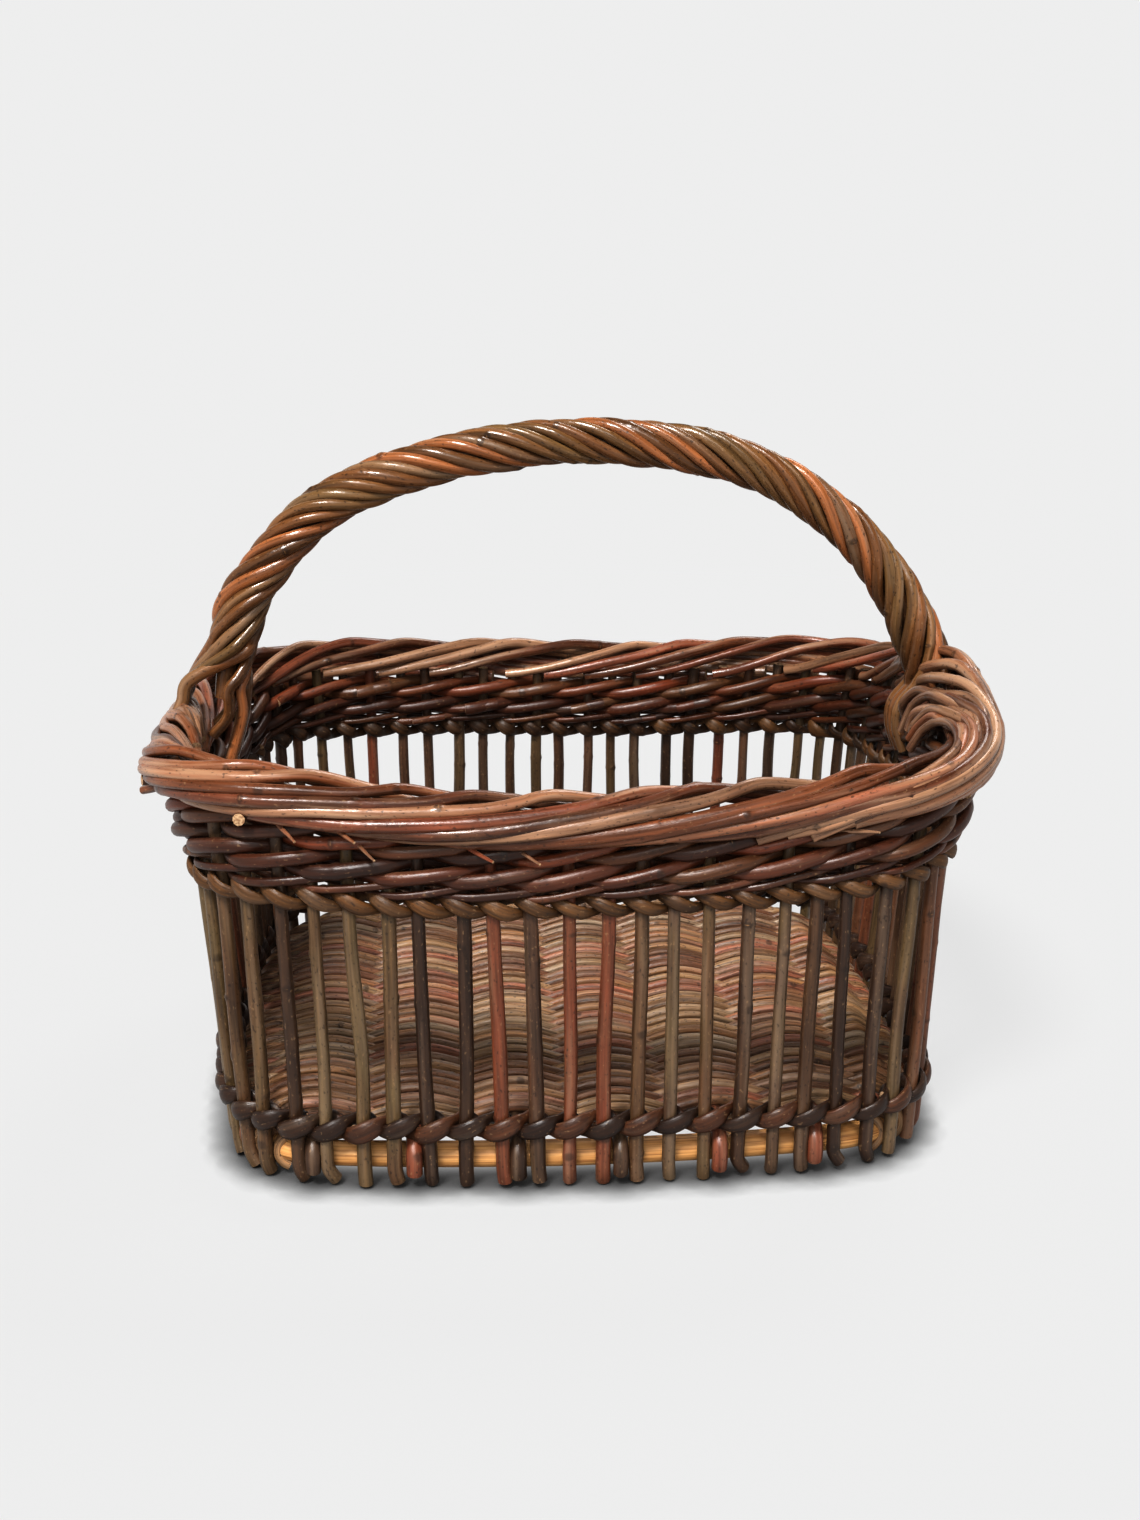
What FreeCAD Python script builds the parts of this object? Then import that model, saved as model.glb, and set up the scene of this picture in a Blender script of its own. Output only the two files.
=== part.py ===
import FreeCAD, Part
import math
import os

import Sketcher

# Woven market basket of round willow rods, in millimetres.
# X runs along the length, Y along the depth, +Z up. The origin is on the resting surface,
# under the middle of the basket.
# "Stake line" means the closed curve through the centres of the upright stakes at one height:
# a bowed rounded rectangle of eight tangent arcs.

Vector = FreeCAD.Vector

SIZES = [
    # stake line at three heights: the foot, the waist at the upper fitch, and the rim
    ("foot_height", 13.0),
    ("foot_half_length", 187.0),
    ("foot_half_depth", 175.0),
    ("foot_corner", 56.0),
    ("waist_height", 148.0),
    ("waist_half_length", 197.0),
    ("waist_half_depth", 174.0),
    ("waist_corner", 62.0),
    ("rim_height", 190.0),
    ("rim_half_length", 205.0),
    ("rim_half_depth", 173.0),
    ("rim_corner", 68.0),
    ("front_bow", 1100.0),
    ("side_bow", 900.0),
    # rods
    ("clearance", 0.2),
    ("stake_rod", 7.0),
    ("stake_count", 76.0),
    ("stake_bend", 150.0),
    ("hoop_rod", 13.0),
    ("stick_rod", 9.0),
    ("hook_gap", 1.0),
    ("weave_underside", 20.0),
    ("weave_thickness", 9.0),
    ("weave_half_depth", 160.0),
    ("weave_side_half_depth", 144.0),
    ("weave_side_inset", 3.0),
    ("weave_corner", 32.0),
    # twined rows: height of the middle, and the section of the band on each side of the stakes
    ("lower_fitch_height", 34.0),
    ("upper_fitch_height", 148.0),
    ("fitch_clearance", 1.0),
    ("fitch_width", 4.0),
    ("fitch_tall", 8.0),
    ("wale_low_height", 155.5),
    ("wale_mid_height", 163.7),
    ("wale_top_height", 173.8),
    ("wale_clearance", 1.3),
    ("wale_width", 7.5),
    ("wale_low_tall", 6.0),
    ("wale_mid_tall", 9.8),
    ("wale_top_tall", 9.8),
    # border: three bundles of turned-down rods round the tops of the stakes
    ("border_outer_rod", 14.4),
    ("border_outer_out", 13.5),
    ("border_outer_height", 187.0),
    ("border_top_rod", 14.0),
    ("border_top_out", 2.0),
    ("border_top_height", 198.0),
    ("border_inner_rod", 11.0),
    ("border_inner_out", -9.2),
    ("border_inner_height", 187.0),
    # handle: a bow rod with a rope of thinner rods laid round it
    ("bow_rod", 10.0),
    ("bow_foot_height", 180.0),
    ("rope_diameter", 25.0),
    ("handle_spring", 206.0),
    ("handle_half_span", 201.0),
    ("handle_rise", 146.0),
    ("handle_shoulder", 105.0),
]

# positions of the base sticks, in stake spacings from the middle of the front
STICK_PLACES = (-8, -5, -2, 1, 4, 7)
# how far a stick's end hooks round the hoop, in degrees from its top
HOOK_SWEEP = 120
# the stakes stop this far below the rim's height, under the border's top bundle
STAKE_TOP_GAP = 0.5
# the crown's radius makes it tangent to both shoulders
CROWN_EXPRESSION = (
    "((Sizes.handle_half_span - Sizes.handle_shoulder) ^ 2 + Sizes.handle_rise ^ 2"
    " - Sizes.handle_shoulder ^ 2) / (2 * (Sizes.handle_rise - Sizes.handle_shoulder))"
)
# stakes counted anticlockwise from the first one right of the middle of the front
STAKE_GROUPS = (
    ("stakes_front", [*range(70, 76), *range(0, 6)]),
    ("stakes_front_right", range(6, 13)),
    ("stakes_right", range(13, 25)),
    ("stakes_back_right", range(25, 32)),
    ("stakes_back", range(32, 44)),
    ("stakes_back_left", range(44, 51)),
    ("stakes_left", range(51, 63)),
    ("stakes_front_left", range(63, 70)),
)

doc = FreeCAD.newDocument("market_basket")
sheet = doc.addObject("Spreadsheet::Sheet", "Sizes")
for row, (alias, number) in enumerate(SIZES, start=1):
    sheet.set(f"A{row}", alias)
    sheet.set(f"B{row}", str(number))
    sheet.setAlias(f"B{row}", alias)
doc.recompute()


def size(alias):
    """The number in the sheet under this alias."""
    return float(sheet.get(alias))


def cell(alias):
    """The expression that reads this alias."""
    return f"Sizes.{alias}"


# ---------------------------------------------------------------- the stake line


def wall_value(quantity, height):
    """half_length, half_depth or corner of the stake line at this height."""
    low, high = ("foot", "waist") if height <= size("waist_height") else ("waist", "rim")
    start = size(f"{low}_{quantity}")
    share = (height - size(f"{low}_height")) / (size(f"{high}_height") - size(f"{low}_height"))
    return start + (size(f"{high}_{quantity}") - start) * share


def wall_expression(quantity, height_alias):
    """The same as an expression that reads the sheet."""
    low, high = ("foot", "waist") if size(height_alias) <= size("waist_height") else ("waist", "rim")
    start, end = cell(f"{low}_{quantity}"), cell(f"{high}_{quantity}")
    low_height, high_height = cell(f"{low}_height"), cell(f"{high}_height")
    return (
        f"({start} + ({end} - {start}) * ({cell(height_alias)} - {low_height})"
        f" / ({high_height} - {low_height}))"
    )


def ring_arcs(height, offset):
    """The stake line moved outwards by offset, as (centre, radius, start angle, end angle),
    anticlockwise from the middle of the front. The front arc is in two halves."""
    half_length = wall_value("half_length", height) + offset
    half_depth = wall_value("half_depth", height) + offset
    corner = wall_value("corner", height) + offset
    front = size("front_bow") + offset
    side = size("side_bow") + offset
    front_centre = Vector(0, front - half_depth, 0)
    side_centre = Vector(half_length - side, 0, 0)
    # the corner's centre is front - corner from one centre and side - corner from the other
    between = side_centre - front_centre
    reach = between.Length
    along = ((front - corner) ** 2 - (side - corner) ** 2 + reach**2) / (2 * reach)
    across = math.sqrt((front - corner) ** 2 - along**2)
    direction = between * (1 / reach)
    normal = Vector(-direction.y, direction.x, 0)
    found = [front_centre + direction * along + normal * across * sign for sign in (1, -1)]
    centre = [c for c in found if c.x > 0 and c.y < 0][0]
    front_end = math.atan2(centre.y - front_centre.y, centre.x - front_centre.x)
    side_start = math.atan2(centre.y - side_centre.y, centre.x - side_centre.x)
    half_turn, quarter = math.pi, math.pi / 2

    def mirrored(point, x_sign, y_sign):
        return Vector(point.x * x_sign, point.y * y_sign, 0)

    return [
        (front_centre, front, -quarter, front_end),
        (centre, corner, front_end, side_start),
        (side_centre, side, side_start, -side_start),
        (mirrored(centre, 1, -1), corner, -side_start, -front_end),
        (mirrored(front_centre, 1, -1), front, -front_end, half_turn + front_end),
        (mirrored(centre, -1, -1), corner, half_turn + front_end, half_turn + side_start),
        (mirrored(side_centre, -1, 1), side, half_turn + side_start, half_turn - side_start),
        (mirrored(centre, -1, 1), corner, half_turn - side_start, half_turn - front_end),
        (front_centre, front, half_turn - front_end, half_turn + quarter),
    ]


def arc_span(start, end):
    """The angle from start to end, anticlockwise."""
    return (end - start) % (2 * math.pi)


def ring_point(share, height, offset=0.0):
    """The point at this share of the ring's length, from the middle of the front."""
    arcs = ring_arcs(height, offset)
    lengths = [radius * arc_span(start, end) for _, radius, start, end in arcs]
    left = (share % 1.0) * sum(lengths)
    for (centre, radius, start, _), length in zip(arcs, lengths):
        if left <= length:
            angle = start + left / radius
            return centre + Vector(radius * math.cos(angle), radius * math.sin(angle), height)
        left -= length
    raise ValueError("share is outside the ring")


# ---------------------------------------------------------------- sketches and bodies


def origin_plane(body, role):
    """The body's own origin plane with this role."""
    return [f for f in body.Origin.OriginFeatures if f.Role == role][0]


def plane_sketch(body, name, role):
    """An empty sketch on one of the body's origin planes."""
    sketch = body.newObject("Sketcher::SketchObject", name)
    sketch.AttachmentSupport = [(origin_plane(body, role), "")]
    sketch.MapMode = "FlatFace"
    return sketch


def bind(sketch, constraint, expression=None, name=None):
    """Adds a constraint, and ties its value to an expression if one is given."""
    index = sketch.addConstraint(constraint)
    if expression is not None:
        sketch.renameConstraint(index, name)
        sketch.setExpression(f"Constraints.{name}", expression)
    return index


def circle_in(sketch, diameter, across, up, name):
    """A circle whose diameter and centre are (value, expression) pairs, from the origin."""
    centre = Vector(across[0], up[0], 0)
    index = sketch.addGeometry(Part.Circle(centre, Vector(0, 0, 1), diameter[0] / 2))
    bind(
        sketch,
        Sketcher.Constraint("Diameter", index, diameter[0]),
        diameter[1],
        f"{name}_diameter",
    )
    for kind, (value, expression) in (("DistanceX", across), ("DistanceY", up)):
        if value >= 0:
            ends = (-1, 1, index, 3)
        else:
            ends = (index, 3, -1, 1)
            expression = f"-({expression})"
        bind(
            sketch,
            Sketcher.Constraint(kind, *ends, abs(value)),
            expression,
            f"{name}_{kind}",
        )


def rectangle_in(sketch, left, right, bottom, top):
    """A rectangle whose sides are (value, expression) pairs measured from the origin."""
    corners = [
        Vector(left[0], bottom[0], 0),
        Vector(right[0], bottom[0], 0),
        Vector(right[0], top[0], 0),
        Vector(left[0], top[0], 0),
    ]
    first = None
    for index in range(4):
        added = sketch.addGeometry(Part.LineSegment(corners[index], corners[(index + 1) % 4]))
        first = added if first is None else first
    for index in range(4):
        after = first + (index + 1) % 4
        bind(sketch, Sketcher.Constraint("Coincident", first + index, 2, after, 1))
        direction = "Horizontal" if index % 2 == 0 else "Vertical"
        bind(sketch, Sketcher.Constraint(direction, first + index))
    for name, kind, corner, (value, expression) in (
        ("left", "DistanceX", (first, 1), left),
        ("right", "DistanceX", (first + 1, 1), right),
        ("bottom", "DistanceY", (first, 1), bottom),
        ("top", "DistanceY", (first + 2, 1), top),
    ):
        if value >= 0:
            ends = (-1, 1, *corner)
        else:
            ends = (*corner, -1, 1)
            expression = f"-({expression})"
        bind(sketch, Sketcher.Constraint(kind, *ends, abs(value)), expression, name)


def ring_path_sketch(body, height_alias, offset):
    """The ring's path: nine tangent arcs on the XY plane, lifted to the ring's height.
    offset is (value, expression) outwards from the stake line."""
    sketch = plane_sketch(body, f"{body.Name}_path", "XY_Plane")
    sketch.setExpression("AttachmentOffset.Base.z", cell(height_alias))
    arcs = ring_arcs(size(height_alias), offset[0])
    for centre, radius, start, end in arcs:
        circle = Part.Circle(centre, Vector(0, 0, 1), radius)
        sketch.addGeometry(Part.ArcOfCircle(circle, start, start + arc_span(start, end)))
    count = len(arcs)
    last = count - 1
    for index in range(last):
        bind(sketch, Sketcher.Constraint("Tangent", index, 2, index + 1, 1))
    # the two halves of the front arc share a centre and meet on the Y axis
    bind(sketch, Sketcher.Constraint("Coincident", last, 2, 0, 1))
    bind(sketch, Sketcher.Constraint("Coincident", last, 3, 0, 3))
    bind(sketch, Sketcher.Constraint("PointOnObject", 0, 1, -2))
    front, right_side, back, left_side = 0, 2, 4, 6
    for index, axis in ((front, -2), (back, -2), (right_side, -1), (left_side, -1)):
        bind(sketch, Sketcher.Constraint("PointOnObject", index, 3, axis))
    for index in (3, 5, 7):
        bind(sketch, Sketcher.Constraint("Equal", 1, index))
    bind(sketch, Sketcher.Constraint("Equal", front, back))
    bind(sketch, Sketcher.Constraint("Equal", right_side, left_side))
    outward = offset[1]
    for index, name, alias in ((front, "front", "front_bow"), (right_side, "side", "side_bow")):
        bind(
            sketch,
            Sketcher.Constraint("Radius", index, arcs[index][1]),
            f"{cell(alias)} + ({outward})",
            f"{name}_radius",
        )
    bind(
        sketch,
        Sketcher.Constraint("Radius", 1, arcs[1][1]),
        f"{wall_expression('corner', height_alias)} + ({outward})",
        "corner_radius",
    )
    depth = f"{cell('front_bow')} - {wall_expression('half_depth', height_alias)}"
    length = f"{cell('side_bow')} - {wall_expression('half_length', height_alias)}"
    bind(
        sketch,
        Sketcher.Constraint("DistanceY", -1, 1, front, 3, arcs[front][0].y),
        depth,
        "front_centre",
    )
    bind(
        sketch,
        Sketcher.Constraint("DistanceY", back, 3, -1, 1, -arcs[back][0].y),
        depth,
        "back_centre",
    )
    bind(
        sketch,
        Sketcher.Constraint("DistanceX", right_side, 3, -1, 1, -arcs[right_side][0].x),
        length,
        "right_centre",
    )
    bind(
        sketch,
        Sketcher.Constraint("DistanceX", -1, 1, left_side, 3, arcs[left_side][0].x),
        length,
        "left_centre",
    )
    return sketch


def pipe_along(body, profile, path):
    """The profile swept along the path."""
    pipe = body.newObject("PartDesign::AdditivePipe", f"{body.Name}_pipe")
    pipe.Profile = profile
    pipe.Spine = (path, [])
    pipe.Transition = "Transformed"
    profile.Visibility = False
    path.Visibility = False
    return pipe


def ring_profile_place(height_alias, offset):
    """Where the ring crosses the YZ plane in front: (across, up), each (value, expression)."""
    height = size(height_alias)
    across = -(wall_value("half_depth", height) + offset[0])
    across_expression = f"-({wall_expression('half_depth', height_alias)} + ({offset[1]}))"
    return (across, across_expression), (height, cell(height_alias))


def round_ring(name, rod_alias, height_alias, offset):
    """A closed ring of round rod that follows the stake line."""
    body = doc.addObject("PartDesign::Body", name)
    body.Label = name
    path = ring_path_sketch(body, height_alias, offset)
    profile = plane_sketch(body, f"{name}_profile", "YZ_Plane")
    across, up = ring_profile_place(height_alias, offset)
    diameter = (size(rod_alias), cell(rod_alias))
    circle_in(profile, diameter, across, up, "rod")
    pipe_along(body, profile, path)
    return body


def band_ring(name, kind, tall_alias, height_alias, side):
    """A flat band on one side of the stakes: side is 1 outside them and -1 inside.
    kind is fitch or wale. The clearance makes room for the stakes' lean over the band."""
    width_alias, clearance_alias = f"{kind}_width", f"{kind}_clearance"
    gap = size("stake_rod") / 2 + size(clearance_alias) + size(width_alias) / 2
    gap_expression = (
        f"{side} * ({cell('stake_rod')} / 2 + {cell(clearance_alias)} + {cell(width_alias)} / 2)"
    )
    offset = (side * gap, gap_expression)
    body = doc.addObject("PartDesign::Body", name)
    body.Label = name
    path = ring_path_sketch(body, height_alias, offset)
    profile = plane_sketch(body, f"{name}_profile", "YZ_Plane")
    across, up = ring_profile_place(height_alias, offset)
    half_width, half_tall = size(width_alias) / 2, size(tall_alias) / 2
    width, tall = f"{cell(width_alias)} / 2", f"{cell(tall_alias)} / 2"
    rectangle_in(
        profile,
        (across[0] - half_width, f"{across[1]} - {width}"),
        (across[0] + half_width, f"{across[1]} + {width}"),
        (up[0] - half_tall, f"{up[1]} - {tall}"),
        (up[0] + half_tall, f"{up[1]} + {tall}"),
    )
    pipe_along(body, profile, path)
    return body


# ---------------------------------------------------------------- base


def base_hoop():
    """The stout rod that the base is woven on, just inside the feet of the stakes."""
    inward = (size("stake_rod") + size("hoop_rod")) / 2 + size("clearance")
    expression = f"-(({cell('stake_rod')} + {cell('hoop_rod')}) / 2 + {cell('clearance')})"
    return round_ring("base_hoop", "hoop_rod", "foot_height", (-inward, expression))


def hoop_depth_at(across):
    """Half the depth of the hoop's centre line at this X."""
    inward = (size("stake_rod") + size("hoop_rod")) / 2 + size("clearance")
    for centre, radius, start, end in ring_arcs(size("foot_height"), -inward)[3:5]:
        if abs(across - centre.x) >= radius:
            continue
        angle = math.acos((across - centre.x) / radius)
        if start - 1e-6 <= angle <= end + 1e-6:
            return centre.y + radius * math.sin(angle)
    raise ValueError("no hoop at this place")


def stake_spacing():
    """Distance between neighbouring stakes along the stake line at the foot."""
    arcs = ring_arcs(size("foot_height"), 0.0)
    length = sum(radius * arc_span(start, end) for _, radius, start, end in arcs)
    return length / size("stake_count")


def base_stick(number, place):
    """One rod across the base, whose ends hook over the hoop in front and behind."""
    across = place * stake_spacing()
    reach = hoop_depth_at(abs(across))
    name = f"base_stick_{number}"
    radius = f"{cell('stick_rod')} / 2"
    # the hook runs a little wide of the hoop, which curves away under the outer sticks
    turn = f"({cell('hoop_rod')} + {cell('stick_rod')}) / 2 + {cell('hook_gap')}"
    rod = doc.addObject("Part::Cylinder", f"{name}_rod")
    rod.setExpression("Radius", radius)
    rod.Height = 2 * reach
    level = FreeCAD.Rotation(Vector(1, 0, 0), 90)
    rod.Placement = FreeCAD.Placement(Vector(across, reach, 0), level)
    rod.setExpression("Placement.Base.z", f"{cell('foot_height')} + {turn}")
    pieces = [rod]
    upright = FreeCAD.Rotation(Vector(0, 1, 0), 90)
    for side, y_sign, start in (("front", -1, 180), ("back", 1, 180 - HOOK_SWEEP)):
        hook = doc.addObject("Part::Torus", f"{name}_{side}_hook")
        hook.setExpression("Radius1", turn)
        hook.setExpression("Radius2", radius)
        hook.Angle3 = HOOK_SWEEP
        turned = upright.multiply(FreeCAD.Rotation(Vector(0, 0, 1), start))
        hook.Placement = FreeCAD.Placement(Vector(across, y_sign * reach, 0), turned)
        hook.setExpression("Placement.Base.z", cell("foot_height"))
        pieces.append(hook)
    stick = doc.addObject("Part::MultiFuse", name)
    stick.Shapes = pieces
    stick.Label = name
    return stick


def base_weave(number, left, right):
    """The weavers between two base sticks, or between an outer stick and the hoop's side,
    as one slab. left and right are X positions; a side bay has its outer corners rounded."""
    name = f"base_weave_{number}"
    spacing = stake_spacing()
    half_stick = size("stick_rod") / 2 + size("clearance")
    half_stick_expression = f"({cell('stick_rod')} / 2 + {cell('clearance')})"
    inset = (size("stake_rod") + size("hoop_rod")) / 2 + size("weave_side_inset")
    side_reach = size("foot_half_length") - inset
    side_expression = (
        f"({cell('foot_half_length')} - {cell('stake_rod')} / 2"
        f" - {cell('hoop_rod')} / 2 - {cell('weave_side_inset')})"
    )
    edges = []
    for place, sign in ((left, 1), (right, -1)):
        if place is None:
            edges.append((-sign * side_reach, f"{-sign} * {side_expression}"))
        else:
            middle = place * spacing
            edges.append(
                (middle + sign * half_stick, f"{middle} + {sign} * {half_stick_expression}")
            )
    is_side = None in (left, right)
    depth_alias = "weave_side_half_depth" if is_side else "weave_half_depth"
    depth = size(depth_alias)
    body = doc.addObject("PartDesign::Body", name)
    body.Label = name
    outline = plane_sketch(body, f"{name}_outline", "XY_Plane")
    outline.setExpression("AttachmentOffset.Base.z", cell("weave_underside"))
    rectangle_in(
        outline,
        edges[0],
        edges[1],
        (-depth, f"-{cell(depth_alias)}"),
        (depth, cell(depth_alias)),
    )
    slab = body.newObject("PartDesign::Pad", f"{name}_slab")
    slab.Profile = outline
    slab.setExpression("Length", cell("weave_thickness"))
    outline.Visibility = False
    if is_side:
        doc.recompute()
        outer_x = edges[0][0] if left is None else edges[1][0]
        outer = [
            f"Edge{index}"
            for index, edge in enumerate(slab.Shape.Edges, start=1)
            if all(abs(vertex.X - outer_x) < 1e-6 for vertex in edge.Vertexes)
            and abs(edge.Vertexes[0].Z - edge.Vertexes[1].Z) > 1e-6
        ]
        rounding = body.newObject("PartDesign::Fillet", f"{name}_corners")
        rounding.Base = (slab, outer)
        rounding.setExpression("Radius", cell("weave_corner"))
    return body


# ---------------------------------------------------------------- stakes


def stake(share):
    """One upright at this share of the ring's length: it stands on the ground outside the
    hoop, leans out to the waist, bends, and leans out further to the border."""
    foot = ring_point(share, size("foot_height"))
    waist = ring_point(share, size("waist_height"))
    rim = ring_point(share, size("rim_height"))
    lower = (waist - foot).normalize()
    upper = (rim - waist).normalize()
    radius = size("stake_rod") / 2
    start = foot - lower * (2 * size("foot_height"))
    turn = lower.getAngle(upper)
    path = []
    straight_enough = 0.004
    if turn < straight_enough:
        path.append(Part.LineSegment(start, rim).toShape())
    else:
        cut = size("stake_bend") * math.tan(turn / 2)
        before, after = waist - lower * cut, waist + upper * cut
        inward = (upper - lower).normalize()
        sagitta = size("stake_bend") * (1 / math.cos(turn / 2) - 1)
        path.append(Part.LineSegment(start, before).toShape())
        path.append(Part.Arc(before, waist + inward * sagitta, after).toShape())
        path.append(Part.LineSegment(after, rim).toShape())
    section = Part.Wire([Part.Circle(start, lower, radius).toShape()])
    rod = Part.Wire(path).makePipeShell([section], True, True)
    wide = 4 * size("rim_half_length")
    corner = Vector(-wide / 2, -wide / 2, 0)
    return rod.common(Part.makeBox(wide, wide, size("rim_height") - STAKE_TOP_GAP, corner))


def stake_group(name, numbers):
    """Neighbouring stakes, each a solid of its own."""
    count = size("stake_count")
    group = doc.addObject("Part::Feature", name)
    group.Label = name
    group.Shape = Part.makeCompound(
        [solid for number in numbers for solid in stake((number + 0.5) / count).Solids]
    )
    group.Placement = FreeCAD.Placement()
    return group


# ---------------------------------------------------------------- border and handle


def without_bow(ring, name):
    """A border bundle with the two holes that the handle's bow goes down through."""
    holes = []
    for side, sign in (("left", -1), ("right", 1)):
        hole = doc.addObject("Part::Cylinder", f"{name}_{side}_hole")
        hole.setExpression("Radius", f"{cell('bow_rod')} / 2 + 2 * {cell('clearance')}")
        hole.setExpression("Height", cell("handle_rise"))
        hole.setExpression("Placement.Base.x", f"{sign} * {cell('handle_half_span')}")
        hole.setExpression("Placement.Base.z", f"{cell('bow_foot_height')} - {cell('bow_rod')}")
        holes.append(hole)
    tool = doc.addObject("Part::MultiFuse", f"{name}_holes")
    tool.Shapes = holes
    cut = doc.addObject("Part::Cut", name)
    cut.Base = ring
    cut.Tool = tool
    cut.Label = name
    return cut


def border_bundle(name, cut_for_bow):
    """One of the border's three bundles of rods, as a ring of round section."""
    ring_name = f"{name}_ring" if cut_for_bow else name
    offset = (size(f"{name}_out"), cell(f"{name}_out"))
    ring = round_ring(ring_name, f"{name}_rod", f"{name}_height", offset)
    return without_bow(ring, name) if cut_for_bow else ring


def handle_path_sketch(body, with_legs):
    """The arch on the XZ plane: a crown arc between two shoulder arcs, and straight legs
    down into the border if with_legs."""
    sketch = plane_sketch(body, f"{body.Name}_path", "XZ_Plane")
    span, rise = size("handle_half_span"), size("handle_rise")
    shoulder, spring = size("handle_shoulder"), size("handle_spring")
    inset = span - shoulder
    crown = (inset**2 + rise**2 - shoulder**2) / (2 * (rise - shoulder))
    join = math.atan2(crown - rise, inset)
    upward = Vector(0, 0, 1)
    left_centre, right_centre = Vector(-inset, spring, 0), Vector(inset, spring, 0)
    top_centre = Vector(0, spring + rise - crown, 0)
    arcs = [
        (right_centre, shoulder, 0.0, join),
        (top_centre, crown, join, math.pi - join),
        (left_centre, shoulder, math.pi - join, math.pi),
    ]
    for centre, radius, start, end in arcs:
        circle = Part.Circle(centre, upward, radius)
        sketch.addGeometry(Part.ArcOfCircle(circle, start, end))
    bind(sketch, Sketcher.Constraint("Tangent", 0, 2, 1, 1))
    bind(sketch, Sketcher.Constraint("Tangent", 1, 2, 2, 1))
    bind(sketch, Sketcher.Constraint("PointOnObject", 1, 3, -2))
    bind(sketch, Sketcher.Constraint("Equal", 0, 2))
    for name, constraint, expression in (
        ("shoulder", Sketcher.Constraint("Radius", 0, shoulder), cell("handle_shoulder")),
        (
            "spring",
            Sketcher.Constraint("DistanceY", -1, 1, 0, 3, spring),
            cell("handle_spring"),
        ),
        (
            "right_foot",
            Sketcher.Constraint("DistanceX", -1, 1, 0, 1, span),
            cell("handle_half_span"),
        ),
        (
            "left_foot",
            Sketcher.Constraint("DistanceX", 2, 2, -1, 1, span),
            cell("handle_half_span"),
        ),
        ("crown", Sketcher.Constraint("Radius", 1, crown), CROWN_EXPRESSION),
    ):
        bind(sketch, constraint, expression, name)
    bind(sketch, Sketcher.Constraint("Horizontal", 0, 3, 0, 1))
    bind(sketch, Sketcher.Constraint("Horizontal", 2, 3, 2, 2))
    if with_legs:
        foot = size("bow_foot_height")
        ends = (
            ("right", Vector(span, foot, 0), Vector(span, spring, 0), 2, (0, 1)),
            ("left", Vector(-span, spring, 0), Vector(-span, foot, 0), 1, (2, 2)),
        )
        for side, start, end, joined, arc_end in ends:
            index = sketch.addGeometry(Part.LineSegment(start, end))
            bind(sketch, Sketcher.Constraint("Coincident", index, joined, *arc_end))
            bind(sketch, Sketcher.Constraint("Vertical", index))
            free = 1 if joined == 2 else 2
            lowest = Sketcher.Constraint("DistanceY", -1, 1, index, free, foot)
            bind(sketch, lowest, cell("bow_foot_height"), f"{side}_lowest")
    return sketch


def handle_piece(name, foot_alias, diameters, with_legs):
    """A rod or a tube along the arch. diameters are (value, expression), outer one first."""
    body = doc.addObject("PartDesign::Body", name)
    body.Label = name
    path = handle_path_sketch(body, with_legs)
    profile = plane_sketch(body, f"{name}_profile", "XY_Plane")
    profile.setExpression("AttachmentOffset.Base.z", cell(foot_alias))
    across = (size("handle_half_span"), cell("handle_half_span"))
    for number, diameter in enumerate(diameters, start=1):
        circle_in(profile, diameter, across, (0.0, "0"), f"ring_{number}")
    pipe_along(body, profile, path)
    return body


def handle_bow():
    """The stout rod inside the handle, pushed down into the border on both sides."""
    rod = (size("bow_rod"), cell("bow_rod"))
    return handle_piece("handle_bow", "bow_foot_height", [rod], True)


def handle_rope():
    """The rods laid round the bow, as one tube."""
    outer = (size("rope_diameter"), cell("rope_diameter"))
    bore = (
        size("bow_rod") + 2 * size("clearance"),
        f"{cell('bow_rod')} + 2 * {cell('clearance')}",
    )
    return handle_piece("handle_rope", "handle_spring", [outer, bore], False)


# ---------------------------------------------------------------- the whole basket


def build_parts():
    """Every sub-part, in the order that the basket is made."""
    parts = [base_hoop()]
    for number, place in enumerate(STICK_PLACES, start=1):
        parts.append(base_stick(number, place))
    bays = [None, *STICK_PLACES, None]
    for number in range(1, len(bays)):
        parts.append(base_weave(number, bays[number - 1], bays[number]))
    for name, numbers in STAKE_GROUPS:
        parts.append(stake_group(name, numbers))
    for row in ("lower_fitch", "upper_fitch"):
        for place, side in (("outer", 1), ("inner", -1)):
            name = f"{row}_{place}"
            parts.append(band_ring(name, "fitch", "fitch_tall", f"{row}_height", side))
    for row in ("wale_low", "wale_mid", "wale_top"):
        for place, side in (("outer", 1), ("inner", -1)):
            name = f"{row}_{place}"
            parts.append(band_ring(name, "wale", f"{row}_tall", f"{row}_height", side))
    parts.append(border_bundle("border_outer", False))
    parts.append(border_bundle("border_top", True))
    parts.append(border_bundle("border_inner", True))
    parts.append(handle_bow())
    parts.append(handle_rope())
    doc.recompute()
    return parts


def check(parts):
    """Stops with a message if any object failed or any sub-part isn't a valid solid."""
    faults = [o.Name for o in doc.Objects if {"Invalid", "Error"} & set(o.State)]
    for part in parts:
        shape = part.Shape
        if shape.isNull() or not shape.isValid() or not shape.Solids:
            faults.append(part.Label)
    if faults:
        raise RuntimeError(f"these objects failed: {faults}")


def main():
    parts = build_parts()
    check(parts)
    os.makedirs("parts", exist_ok=True)
    for part in parts:
        part.Shape.exportStep(f"parts/{part.Label}.step")
        solids = len(part.Shape.Solids)
        print(f"{part.Label}: {solids} solids, {part.Shape.Volume / 1000:.2f} cm3")


main()
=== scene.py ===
import math
import random

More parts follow.
